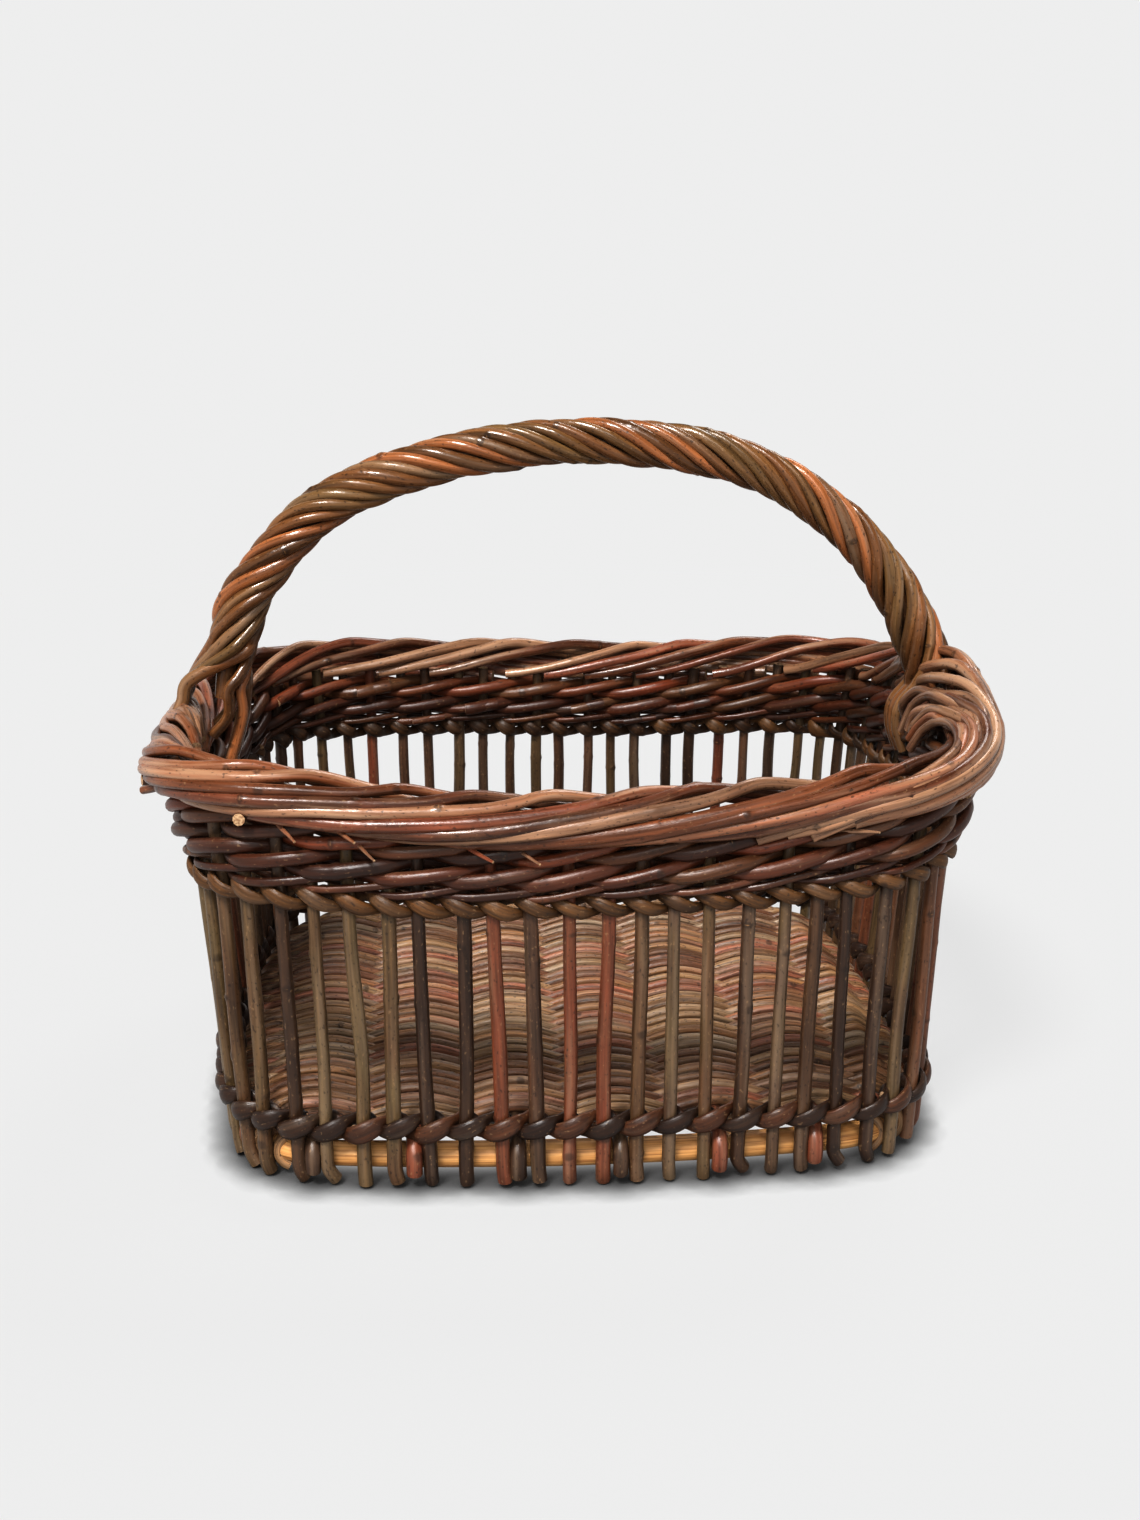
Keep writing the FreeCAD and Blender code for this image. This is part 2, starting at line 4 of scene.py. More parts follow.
import bpy
import numpy as np
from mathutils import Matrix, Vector


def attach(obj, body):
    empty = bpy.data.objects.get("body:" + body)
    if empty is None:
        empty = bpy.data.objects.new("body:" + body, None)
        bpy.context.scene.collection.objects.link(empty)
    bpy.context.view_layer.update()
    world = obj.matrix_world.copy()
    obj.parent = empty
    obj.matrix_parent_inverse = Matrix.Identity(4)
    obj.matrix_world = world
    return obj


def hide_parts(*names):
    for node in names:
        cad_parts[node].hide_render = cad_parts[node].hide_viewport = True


# Woven market basket of willow rods, in metres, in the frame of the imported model: X along
# the length, Y to the back, +Z up, the origin on the resting surface under the middle.
# Every rod is a tube that follows its own path. Rows, rods and stakes are made by loops,
# and every random draw comes from a seeded generator.

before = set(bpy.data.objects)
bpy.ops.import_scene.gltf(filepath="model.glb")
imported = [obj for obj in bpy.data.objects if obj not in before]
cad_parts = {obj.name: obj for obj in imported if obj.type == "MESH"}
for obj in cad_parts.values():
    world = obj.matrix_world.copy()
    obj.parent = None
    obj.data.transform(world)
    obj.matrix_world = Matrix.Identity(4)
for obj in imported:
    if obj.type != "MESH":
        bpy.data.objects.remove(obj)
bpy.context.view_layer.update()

MM = 0.001
PI = math.pi


# ---------------- the stake line

# the closed curve through the stakes at three heights: (height, half length, half depth, corner)
LEVELS = (
    (13 * MM, 187 * MM, 175 * MM, 56 * MM),
    (148 * MM, 197 * MM, 174 * MM, 62 * MM),
    (190 * MM, 205 * MM, 173 * MM, 68 * MM),
)
FRONT_BOW = 1.1
SIDE_BOW = 0.9
STAKE_COUNT = 76


def ring_samples(half_length, half_depth, corner, offset=0.0):
    """The bowed rounded rectangle as (share of its length, points, outward normals, length),
    from the middle of the front, anticlockwise seen from above."""
    half_length, half_depth, corner = half_length + offset, half_depth + offset, corner + offset
    front, side = FRONT_BOW + offset, SIDE_BOW + offset
    front_centre = np.array([0.0, front - half_depth])
    side_centre = np.array([half_length - side, 0.0])
    between = side_centre - front_centre
    reach = np.hypot(*between)
    along = ((front - corner) ** 2 - (side - corner) ** 2 + reach**2) / (2 * reach)
    across = math.sqrt((front - corner) ** 2 - along**2)
    direction = between / reach
    normal = np.array([-direction[1], direction[0]])
    choices = [front_centre + direction * along + normal * across * sign for sign in (1, -1)]
    centre = next(c for c in choices if c[0] > 0 and c[1] < 0)
    front_end = math.atan2(centre[1] - front_centre[1], centre[0] - front_centre[0])
    side_start = math.atan2(centre[1] - side_centre[1], centre[0] - side_centre[0])
    quarter = (
        (front_centre, front, -PI / 2, front_end),
        (centre, corner, front_end, side_start),
        (side_centre, side, side_start, 0.0),
    )
    points, normals = [], []
    for middle, radius, start, end in quarter:
        angles = np.linspace(start, end, 240)
        out = np.stack([np.cos(angles), np.sin(angles)], 1)
        points.append(middle + radius * out)
        normals.append(out)
    points, normals = np.vstack(points), np.vstack(normals)
    flips = ((1, 1, 1), (1, -1, -1), (-1, -1, 1), (-1, 1, -1))
    points = np.vstack([(points * (x, y))[::order] for x, y, order in flips])
    normals = np.vstack([(normals * (x, y))[::order] for x, y, order in flips])
    steps = np.hypot(*np.diff(points, axis=0).T)
    keep = np.concatenate([[True], steps > 1e-9])
    points, normals = points[keep], normals[keep]
    length = np.concatenate([[0.0], np.cumsum(np.hypot(*np.diff(points, axis=0).T))])
    return length / length[-1], points, normals, length[-1]


RINGS = [ring_samples(*level[1:]) for level in LEVELS]
RING_LENGTH = RINGS[1][3]

# how the finished basket strays from the regular shape. Each swell is its size in mm, its middle
# as a share of the way round, and its width
LIFTS = ((17, 0.215, 0.125), (8, 0.87, 0.06), (3, 0.62, 0.07), (-4, 0.46, 0.08))
RIM_LIFTS = ((13, 0.225, 0.065), (8, 0.865, 0.06))
LEANS = ((-6, 0.645, 0.06), (4, 0.30, 0.07))
# the heights between which the swells grow from nothing, in metres: the wall's and the rim's
WALL_GROWTH = (0.03, 0.19)
RIM_GROWTH = (0.144, 0.184)


def swells(share, table):
    """The sum of the table's swells at this share. Each is a third of its size at its width
    from its middle, and next to nothing at twice that."""
    total = 0.0
    for size, middle, width in table:
        away = (share - middle + 0.5) % 1.0 - 0.5
        total = total + size * np.exp(-((away / width) ** 2))
    return total


def warp(share, height):
    """How far the finished basket strays from the regular shape, growing from the foot to the
    rim: upwards, and outwards. Its front corners ride up, the rim there more than the wales,
    and its back left corner leans in."""
    low, high = WALL_GROWTH
    strength = np.clip((height - low) / (high - low), 0, 1)
    lift = swells(share, LIFTS) * strength + swells(share, RIM_LIFTS) * smooth(*RIM_GROWTH, height)
    return lift * MM, swells(share, LEANS) * strength * MM


def on_ring(ring, kind, share):
    """The ring's points (kind 1) or outward normals (kind 2) at these shares."""
    return np.stack([np.interp(share, ring[0], ring[kind][:, axis]) for axis in (0, 1)], -1)


def wall(share, height, out=0.0):
    """Points on the wall, and their outward normals: share of the way round from the middle of
    the front, height, and distance outwards from the stake line."""
    share, height, out = np.broadcast_arrays(
        np.asarray(share, float), np.asarray(height, float), np.asarray(out, float)
    )
    share = share % 1.0
    lift, lean = warp(share, height)
    heights = np.array([level[0] for level in LEVELS])
    flat = [on_ring(ring, 1, share) for ring in RINGS]
    normals = on_ring(RINGS[1], 2, share)
    normals /= np.linalg.norm(normals, axis=-1, keepdims=True)
    lower = ((height - heights[0]) / (heights[1] - heights[0]))[..., None]
    upper = ((height - heights[1]) / (heights[2] - heights[1]))[..., None]
    below = flat[0] + (flat[1] - flat[0]) * lower
    above = flat[1] + (flat[2] - flat[1]) * upper
    position = np.where((height <= heights[1])[..., None], below, above)
    position = position + normals * (out + lean)[..., None]
    points = np.concatenate([position, (height + lift)[..., None]], -1)
    outward = np.concatenate([normals, np.zeros_like(height)[..., None]], -1)
    return points, outward


# ---------------- small tools


def drift(rng, count, steps, amount, closed=False):
    """A smooth random curve of count values, with about one swing in steps values."""
    knots = max(3, int(count / steps) + 2)
    values = np.array([rng.uniform(-1, 1) for _ in range(knots)])
    if closed:
        values[-1] = values[0]
    at = np.linspace(0, knots - 1, count)
    low = np.clip(at.astype(int), 0, knots - 2)
    share = at - low
    share = share * share * (3 - 2 * share)
    return amount * (values[low] * (1 - share) + values[low + 1] * share)


def smooth(low, high, value):
    """0 below low, 1 above high, smooth between."""
    share = np.clip((np.asarray(value, float) - low) / (high - low), 0, 1)
    return share * share * (3 - 2 * share)


def spline(points, count):
    """A smooth curve through the points (Catmull-Rom), as count evenly spaced points."""
    points = np.asarray(points, float)
    padded = np.vstack([2 * points[0] - points[1], points, 2 * points[-1] - points[-2]])
    rows = []
    for index in range(len(points) - 1):
        a, b, c, d = padded[index : index + 4]
        share = np.linspace(0, 1, 24, endpoint=index == len(points) - 2)[:, None]
        rows.append(
            0.5
            * (
                2 * b
                + (c - a) * share
                + (2 * a - 5 * b + 4 * c - d) * share**2
                + (3 * b - a - 3 * c + d) * share**3
            )
        )
    rows = np.vstack(rows)
    return resample(rows, count)


def resample(points, count):
    """The same line as count evenly spaced points."""
    length = np.concatenate([[0], np.cumsum(np.linalg.norm(np.diff(points, axis=0), axis=1))])
    at = np.linspace(0, length[-1], count)
    return np.stack([np.interp(at, length, points[:, axis]) for axis in range(3)], 1)


def from_end(count):
    """How many steps each of count points is from the nearer end."""
    return np.minimum(np.arange(count), np.arange(count)[::-1])


def unit(vectors):
    """The vectors at length one."""
    return vectors / np.maximum(np.linalg.norm(vectors, axis=-1, keepdims=True), 1e-12)


def add_object(name, data):
    """A new object of the scene with this mesh, light or camera."""
    made = bpy.data.objects.new(name, data)
    bpy.context.scene.collection.objects.link(made)
    return made


# ---------------- rods


def frame_along(path, closed, facing):
    """Tangents and normals along a path. facing gives the side that the normal looks to."""
    if closed:
        tangent = np.roll(path, -1, axis=0) - np.roll(path, 1, axis=0)
    else:
        tangent = np.gradient(path, axis=0)
    tangent = unit(tangent)
    if facing is not None:
        facing = np.broadcast_to(facing, path.shape)
        normal = facing - (facing * tangent).sum(1, keepdims=True) * tangent
        return tangent, unit(normal)
    upright = abs(tangent[0][2]) >= 0.8
    before = np.array([1.0, 0.0, 0.0] if upright else [0.0, 0.0, 1.0])
    normal = np.empty_like(path)
    for index, direction in enumerate(tangent):
        before = before - direction * before.dot(direction)
        before = before / math.sqrt(before.dot(before))
        normal[index] = before
    return tangent, normal


class Rods:
    """One mesh of rods. Each vertex knows its place in its own rod's bark: grain holds the
    distance along the rod and the place round it, tint a number for the rod's colour, cut is
    1 on a cut end, and knot is 1 at the middle of a knot."""

    def __init__(self, seed):
        self.rng = random.Random(seed)
        self.points = []
        self.grain = []
        self.tint = []
        self.cut = []
        self.knot = []
        self.quads = []
        self.triangles = []
        self.count = 0

    def _store(self, points, grain, tint, cut, knot):
        """Keeps these vertices and returns the number of the first one."""
        first = self.count
        self.points.append(points)
        self.grain.append(grain)
        self.tint.append(np.full(len(points), tint))
        self.cut.append(np.full(len(points), cut))
        self.knot.append(knot)
        self.count += len(points)
        return first

    def add(self, path, radius, sides=10, facing=None, flat=1.0, tint=None, closed=False, knots=0):
        """A rod along path. flat is its thickness towards facing, as a share of its width.
        knots is the usual distance between knots in metres, or 0 for none."""
        rng = self.rng
        path = np.asarray(path, float)
        rings = len(path)
        tint = rng.random() if tint is None else tint
        radius = np.broadcast_to(np.asarray(radius, float), rings)
        flat = np.broadcast_to(np.asarray(flat, float), rings)
        tangent, normal = frame_along(path, closed, facing)
        side = np.cross(tangent, normal)
        steps = np.linalg.norm(np.diff(path, axis=0), axis=1)
        along = np.concatenate([[0.0], np.cumsum(steps)])
        angle = np.linspace(0, 2 * PI, sides, endpoint=False) + rng.uniform(0, 1)
        lobes = 0.035 * np.cos(2 * angle + rng.uniform(0, 6)) + 0.02 * np.cos(
            3 * angle + rng.uniform(0, 6)
        )
        swell = (1 + lobes)[None, :] * (1 + drift(rng, rings, 14, 0.035))[:, None]
        knot = np.zeros((rings, sides))
        if knots:
            place = rng.uniform(0.2, 1.0) * knots
            while place < along[-1]:
                width = rng.uniform(1.2, 2.2) * MM
                turn = rng.uniform(0, 2 * PI)
                bump = np.exp(-(((along - place) / width) ** 2))
                facet = np.clip(np.cos(angle - turn), 0, 1) ** 2
                lean = 0.35 + 0.65 * facet
                swell = swell + rng.uniform(0.10, 0.26) * bump[:, None] * lean[None, :]
                knot = np.maximum(knot, bump[:, None] * facet[None, :])
                place += rng.uniform(0.55, 1.5) * knots
        across = np.cos(angle)[None, :] * radius[:, None] * swell
        wide = np.sin(angle)[None, :] * radius[:, None] * swell
        points = (
            path[:, None, :]
            + (across * flat[:, None])[..., None] * normal[:, None, :]
            + wide[..., None] * side[:, None, :]
        )
        offset = np.array([rng.uniform(-3, 3) for _ in range(3)])
        grain = np.stack([np.broadcast_to(along[:, None], across.shape), across, wide], -1)
        grain = grain.reshape(-1, 3) + offset
        first = self._store(points.reshape(-1, 3), grain, tint, 0.0, knot.ravel())
        ring = np.arange(sides)
        after = (ring + 1) % sides
        last = rings if closed else rings - 1
        for index in range(last):
            here, there = first + index * sides, first + (index + 1) % rings * sides
            self.quads.append(
                np.stack([here + ring, here + after, there + after, there + ring], 1)
            )
        if closed:
            return
        for index, outward in ((0, -1), (rings - 1, 1)):
            edge = points[index]
            middle = path[index] + tangent[index] * outward * radius[index] * 0.12
            cap = np.vstack([edge, middle[None, :]])
            disc = np.stack(
                [np.zeros(sides + 1), np.append(across[index], 0), np.append(wide[index], 0)], 1
            )
            start = self._store(cap, disc + offset, tint, 1.0, np.zeros(sides + 1))
            centre = np.full(sides, start + sides)
            pair = (start + after, start + ring) if outward < 0 else (start + ring, start + after)
            self.triangles.append(np.stack([*pair, centre], 1))

    def build(self, name, material, slot, nodes=()):
        """Makes the mesh, and puts it in the frame as a piece that stands for these nodes."""
        mesh = bpy.data.meshes.new(name)
        quads = np.vstack(self.quads)
        triangles = np.vstack(self.triangles) if self.triangles else np.zeros((0, 3), int)
        faces = quads.tolist() + triangles.tolist()
        mesh.from_pydata(np.vstack(self.points).tolist(), [], faces)
        round_faces = np.ones(len(faces), bool)
        round_faces[len(quads) :] = False
        mesh.polygons.foreach_set("use_smooth", round_faces)
        for key, kind, data in (
            ("grain", "FLOAT_VECTOR", np.vstack(self.grain)),
            ("tint", "FLOAT", np.concatenate(self.tint)),
            ("cut", "FLOAT", np.concatenate(self.cut)),
            ("knot", "FLOAT", np.concatenate(self.knot)),
        ):
            layer = mesh.attributes.new(key, kind, "POINT")
            field = "vector" if kind == "FLOAT_VECTOR" else "value"
            layer.data.foreach_set(field, data.astype(np.float32).ravel())
        mesh.materials.append(material)
        mesh.update()
        piece = add_object(name, mesh)
        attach(piece, "root")
        if nodes:
            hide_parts(*nodes)
        return piece


# ---------------- materials


def shade(red, green, blue):
    """A screen colour of 0 to 255 as the linear colour that a shader takes."""
    linear = [
        value / 12.92 if value <= 0.04045 else ((value + 0.055) / 1.055) ** 2.4
        for value in (red / 255, green / 255, blue / 255)
    ]
    return (*linear, 1.0)


class Nodes:
    """A short way to write a material's nodes."""

    def __init__(self, name):
        self.material = bpy.data.materials.new(name)
        self.material.use_nodes = True
        self.tree = self.material.node_tree
        self.tree.nodes.clear()
        self.output = self.tree.nodes.new("ShaderNodeOutputMaterial")

    def node(self, kind, inputs=None, **settings):
        made = self.tree.nodes.new(kind)
        for key, value in settings.items():
            setattr(made, key, value)
        for key, value in (inputs or {}).items():
            if isinstance(value, bpy.types.NodeSocket):
                self.tree.links.new(value, made.inputs[key])
            else:
                made.inputs[key].default_value = value
        return made

    def attribute(self, name, output="Fac"):
        return self.node("ShaderNodeAttribute", attribute_name=name).outputs[output]

    def stretched(self, vector, scale):
        made = self.node("ShaderNodeVectorMath", {0: vector, 1: scale}, operation="MULTIPLY")
        return made.outputs["Vector"]

    def noise(self, vector, scale, detail=3.0, roughness=0.55):
        made = self.node(
            "ShaderNodeTexNoise",
            {"Vector": vector, "Scale": scale, "Detail": detail, "Roughness": roughness},
        )
        return made.outputs["Fac"]

    def ramp(self, value, stops, interpolation="LINEAR"):
        made = self.node("ShaderNodeValToRGB", {"Fac": value})
        made.color_ramp.interpolation = interpolation
        elements = made.color_ramp.elements
        while len(elements) < len(stops):
            elements.new(0.5)
        for element, (place, colour) in zip(elements, stops):
            element.position = place
            element.color = colour
        return made.outputs["Color"]

    def mix(self, share, first, second, blend="MIX"):
        made = self.node("ShaderNodeMix", data_type="RGBA", blend_type=blend)
        for socket, value in ((0, share), (6, first), (7, second)):
            if isinstance(value, bpy.types.NodeSocket):
                self.tree.links.new(value, made.inputs[socket])
            else:
                made.inputs[socket].default_value = value
        return made.outputs[2]

    def maths(self, operation, first, second=0.0, third=0.0):
        inputs = {0: first, 1: second, 2: third}
        return self.node("ShaderNodeMath", inputs, operation=operation).outputs["Value"]

    def within(self, value, low, high):
        """0 at low, 1 at high."""
        made = self.node(
            "ShaderNodeMapRange", {"Value": value, "From Min": low, "From Max": high}
        )
        made.interpolation_type = "SMOOTHSTEP"
        return made.outputs["Result"]

    def show(self, shader):
        """Makes this shader the material's surface."""
        self.tree.links.new(shader, self.output.inputs["Surface"])

    def finish(self, colour, rough, height, bump, distance):
        """Shows a surface of this colour and roughness, with height as its relief, bump
        strong and distance deep, and returns the material."""
        relief = {"Height": height, "Strength": bump, "Distance": distance}
        normal = self.node("ShaderNodeBump", relief).outputs["Normal"]
        shader = self.node(
            "ShaderNodeBsdfPrincipled",
            {"Base Color": colour, "Roughness": rough, "Normal": normal, "Specular IOR Level": 0.5},
        )
        self.show(shader.outputs["BSDF"])
        return self.material


def tones(rows):
    """The stops of a ramp from rows of place, red, green and blue."""
    return [(place, shade(*colour)) for place, *colour in rows]


CUT_WOOD = shade(184, 156, 124)
CUT_RINGS = shade(140, 108, 80)
DARK_BARK = shade(34, 22, 15)
SCAR = shade(146, 112, 76)
PORES = shade(150, 122, 90)
BLOOM = shade(146, 126, 106)
# the colours that the fine streaks multiply the bark's own colour by
STREAKS = (
    (0.30, (0.36, 0.32, 0.29, 1.0)),
    (0.55, (1.0, 1.0, 1.0, 1.0)),
    (0.75, (1.5, 1.38, 1.25, 1.0)),
)
WOOD_TONES = ((0.28, 128, 84, 46), (0.45, 190, 142, 88), (0.60, 208, 162, 106), (0.80, 222, 182, 128))
WOOD_STAIN = shade(146, 98, 56)


def bark(name, rows, streak=0.6, lines=620.0, bloom=0.25, rough=0.38, bump=0.4, bloom_colour=BLOOM):
    """Willow bark. rows are the rods' tones. streak is how strong the lengthwise streaks are
    and lines how fine, bloom how much bloom lies on it, rough the mean roughness and bump the
    relief. Each noise is stretched along the rod: its scales are along, across and through."""
    n = Nodes(name)
    grain = n.attribute("grain", "Vector")
    tint = n.attribute("tint")
    fine = n.noise(n.stretched(grain, (26.0, lines, lines)), 1.0, 4.0)
    broad = n.noise(n.stretched(grain, (9.0, 150.0, 150.0)), 1.0, 3.0)
    patch = n.noise(n.stretched(grain, (22.0, 60.0, 60.0)), 1.0, 2.0)
    speck = n.noise(n.stretched(grain, (420.0, 700.0, 700.0)), 1.0, 1.0)
    shifted = n.maths("ADD", tint, n.maths("MULTIPLY_ADD", patch, 0.34, -0.17))
    colour = n.ramp(shifted, tones(rows))
    colour = n.mix(streak, colour, n.mix(1.0, colour, n.ramp(fine, STREAKS), "MULTIPLY"))
    haze = n.maths("MULTIPLY", n.within(broad, 0.50, 0.72), bloom)
    colour = n.mix(haze, colour, bloom_colour)
    stained = n.maths("MULTIPLY", n.within(broad, 0.50, 0.30), 0.5)
    colour = n.mix(stained, colour, DARK_BARK)
    pores = n.maths("MULTIPLY", n.within(speck, 0.66, 0.74), 0.35)
    colour = n.mix(pores, colour, PORES)
    dots = n.maths("MULTIPLY", n.within(speck, 0.36, 0.28), 0.6)
    colour = n.mix(dots, colour, DARK_BARK)
    knot = n.attribute("knot")
    colour = n.mix(n.maths("MULTIPLY", n.within(knot, 0.20, 0.60), 0.55), colour, DARK_BARK)
    colour = n.mix(n.maths("MULTIPLY", n.within(knot, 0.80, 0.95), 0.7), colour, SCAR)
    cut = n.attribute("cut")
    rings = n.noise(n.stretched(grain, (200.0, 900.0, 900.0)), 1.0, 2.0)
    wood = n.mix(n.within(rings, 0.35, 0.65), CUT_WOOD, CUT_RINGS)
    colour = n.mix(cut, colour, wood)
    uneven = n.maths("MULTIPLY_ADD", fine, 0.30, rough - 0.15)
    matt_ends = n.maths("MAXIMUM", uneven, n.maths("MULTIPLY", cut, 0.85))
    relief = n.maths("ADD", n.maths("MULTIPLY", fine, 0.6), n.maths("MULTIPLY", speck, 0.35))
    return n.finish(colour, matt_ends, relief, bump, 0.0008)


def peeled():
    """Bare peeled willow: tan wood with lengthwise grain."""
    n = Nodes("peeled_wood")
    grain = n.attribute("grain", "Vector")
    fine = n.noise(n.stretched(grain, (14.0, 900.0, 900.0)), 1.0, 5.0, 0.6)
    broad = n.noise(n.stretched(grain, (8.0, 120.0, 120.0)), 1.0, 3.0)
    colour = n.ramp(fine, tones(WOOD_TONES))
    stain = n.within(broad, 0.52, 0.70)
    colour = n.mix(n.maths("MULTIPLY", stain, 0.55), colour, WOOD_STAIN)
    return n.finish(colour, 0.5, fine, 0.3, 0.0006)


# each bark's tones, as place, red, green and blue, and whatever else it differs in
BARKS = {
    "stake": dict(
        rows=((0.05, 58, 40, 28), (0.25, 92, 67, 46), (0.42, 100, 83, 57), (0.58, 78, 58, 44),
              (0.78, 104, 70, 48), (0.94, 116, 66, 45)),
    ),
    "wale": dict(
        rows=((0.05, 58, 31, 18), (0.35, 88, 47, 27), (0.60, 86, 56, 32), (0.90, 110, 55, 31)),
        bloom=0.14,
    ),
    "border": dict(
        rows=((0.04, 78, 46, 29), (0.24, 130, 81, 52), (0.42, 156, 122, 96), (0.58, 86, 52, 34),
              (0.76, 144, 85, 61), (0.94, 136, 103, 78)),
        rough=0.30, bloom=0.6, bloom_colour=shade(174, 144, 118),
    ),
    "handle": dict(
        rows=((0.05, 84, 58, 35), (0.30, 124, 84, 50), (0.52, 114, 88, 56), (0.75, 136, 86, 53),
              (0.94, 152, 100, 62)),
        rough=0.24, bloom=0.4,
    ),
    "fitch": dict(
        rows=((0.05, 62, 40, 21), (0.50, 92, 62, 30), (0.95, 116, 76, 36)),
        streak=0.9, rough=0.5, bump=0.7, bloom=0.12,
    ),
    "lower_fitch": dict(
        rows=((0.05, 44, 26, 15), (0.50, 62, 39, 22), (0.95, 78, 46, 26)),
        streak=0.8, rough=0.42, bump=0.6, bloom=0.12,
    ),
    "base": dict(
        rows=((0.04, 106, 76, 55), (0.20, 138, 104, 74), (0.38, 148, 117, 84), (0.52, 126, 106, 84),
              (0.66, 144, 94, 72), (0.82, 142, 107, 73), (0.96, 116, 80, 58)),
        streak=1.0, rough=0.44, bump=0.9, lines=1050.0, bloom=0.3,
        bloom_colour=shade(192, 172, 148),
    ),
}


def make_materials():
    """Every material, by name."""
    made = {name: bark(f"{name}_bark", **settings) for name, settings in BARKS.items()}
    made["peeled"] = peeled()
    return made


# ---------------- base

HOOP_HEIGHT = LEVELS[0][0]
HOOP_RADIUS = 6.5 * MM
STAKE_RADIUS = 3.5 * MM
HOOP_INSET = HOOP_RADIUS + STAKE_RADIUS + 0.2 * MM
STICK_RADIUS = 4.3 * MM
STICK_HEIGHT = HOOP_HEIGHT + HOOP_RADIUS + STICK_RADIUS + 1.2 * MM
STICK_PLACES = (-8, -5, -2, 1, 4, 7)
FOOT_SPACING = RINGS[0][3] / STAKE_COUNT
HOOP = ring_samples(*LEVELS[0][1:], offset=-HOOP_INSET)
# where the hoop's rod starts as a share of the way round, and how far its ends overlap
HOOP_START = 0.46
HOOP_OVERLAP = 0.03


def hoop_reach(place, axis):
    """How far the hoop's middle reaches along this axis (0 for X), at this place on the other."""
    half = HOOP[1][HOOP[1][:, axis] > 0]
    half = half[np.argsort(half[:, 1 - axis])]
    return float(np.interp(place, half[:, 1 - axis], half[:, axis]))


def make_hoop(materials):
    """The stout peeled rod round the base, with its two ends scarfed together at the back."""
    rods = Rods(11)
    count = 460
    share = np.linspace(0, 1, count) * (1 + HOOP_OVERLAP) + HOOP_START
    points = on_ring(HOOP, 1, share % 1.0)
    lift = drift(rods.rng, count, 60, 0.5 * MM)
    path = np.column_stack([points, HOOP_HEIGHT + lift])
    taper = 0.35 + 0.65 * smooth(0, 16, from_end(count))
    rods.add(path, HOOP_RADIUS * 0.985 * taper, sides=20, tint=0.5)
    rods.build("base_hoop_rod", materials["peeled"], "peeled_wood", ["base_hoop"])


def make_sticks(materials):
    """Six sticks from front to back, whose ends hook over the hoop."""
    count = 150
    for number, place in enumerate(STICK_PLACES, start=1):
        rods = Rods(30 + number)
        rng = rods.rng
        across = place * FOOT_SPACING
        reach = hoop_reach(across, 1)
        turn = STICK_HEIGHT - HOOP_HEIGHT
        angles = np.radians(np.linspace(-rng.uniform(22, 40), 90, 14))
        hook = np.column_stack(
            [np.zeros_like(angles), reach + turn * np.cos(angles), turn * np.sin(angles)]
        )
        back = hook + (0, 0, HOOP_HEIGHT)
        front = (back * (1, -1, 1))[::-1]
        lean = rng.uniform(-1.5, 1.5) * MM
        middle = np.linspace(reach, -reach, 60)[1:-1]
        run = np.column_stack([0 * middle, middle, np.full_like(middle, STICK_HEIGHT)])
        path = resample(np.vstack([back, run, front]), count)
        sway = drift(rng, count, 40, 1.0 * MM)
        path[:, 0] += across + sway + lean * np.sign(path[:, 1]) * smooth(0.12, 0.17, abs(path[:, 1]))
        radius = STICK_RADIUS * np.linspace(1.03, 0.92, count)
        rods.add(path, radius, sides=14, knots=0.05, tint=rng.choice((0.08, 0.6, 0.95)))
        node = f"base_stick_{number}"
        rods.build(f"{node}_rod", materials["stake"], "base_bark", [node])


ROW_SPACING = 4.9 * MM
ROW_COUNT = 63
ROWS_IN_PIECE = 9
WEAVER_RADIUS = 2.75 * MM
# the length over which a weaver settles from the sticks to the top of the hoop
SETTLE = 16 * MM
BAY = (STICK_PLACES[1] - STICK_PLACES[0]) * FOOT_SPACING


def weaver_path(rng, row):
    """One row: over and under the sticks, its ends turned down round the hoop at the sides."""
    count, turns = 170, 14
    depth = (row - (ROW_COUNT - 1) / 2) * ROW_SPACING
    right = hoop_reach(depth, 0)
    over = 1 if row % 2 else -1
    across = np.linspace(-right, right, count)
    phase = (across - STICK_PLACES[0] * FOOT_SPACING) / BAY
    rise = (STICK_RADIUS + WEAVER_RADIUS) * 0.8 * over * np.cos(PI * phase)
    settled = smooth(0, 1, np.clip(np.abs(across) - (right - SETTLE), 0, SETTLE) / SETTLE)
    hoop_top = HOOP_HEIGHT + HOOP_RADIUS + WEAVER_RADIUS * 0.95
    height = (STICK_HEIGHT + rise) * (1 - settled) + hoop_top * settled
    crowd = drift(rng, count, 26, 0.8 * MM) + rng.uniform(-0.3, 0.3) * MM
    line = np.column_stack([across, depth + crowd, height])
    turn = HOOP_RADIUS + WEAVER_RADIUS * 0.9
    wrap = np.radians(np.linspace(80, -70, turns))
    ends = []
    for sign in (-1, 1):
        aside = depth + np.linspace(0, rng.uniform(-1.6, 1.6) * MM, turns)
        out = sign * (right + turn * np.cos(wrap))
        ends.append(np.column_stack([out, aside, HOOP_HEIGHT + turn * np.sin(wrap)]))
    return resample(np.vstack([ends[0][::-1], line, ends[1]]), 230)


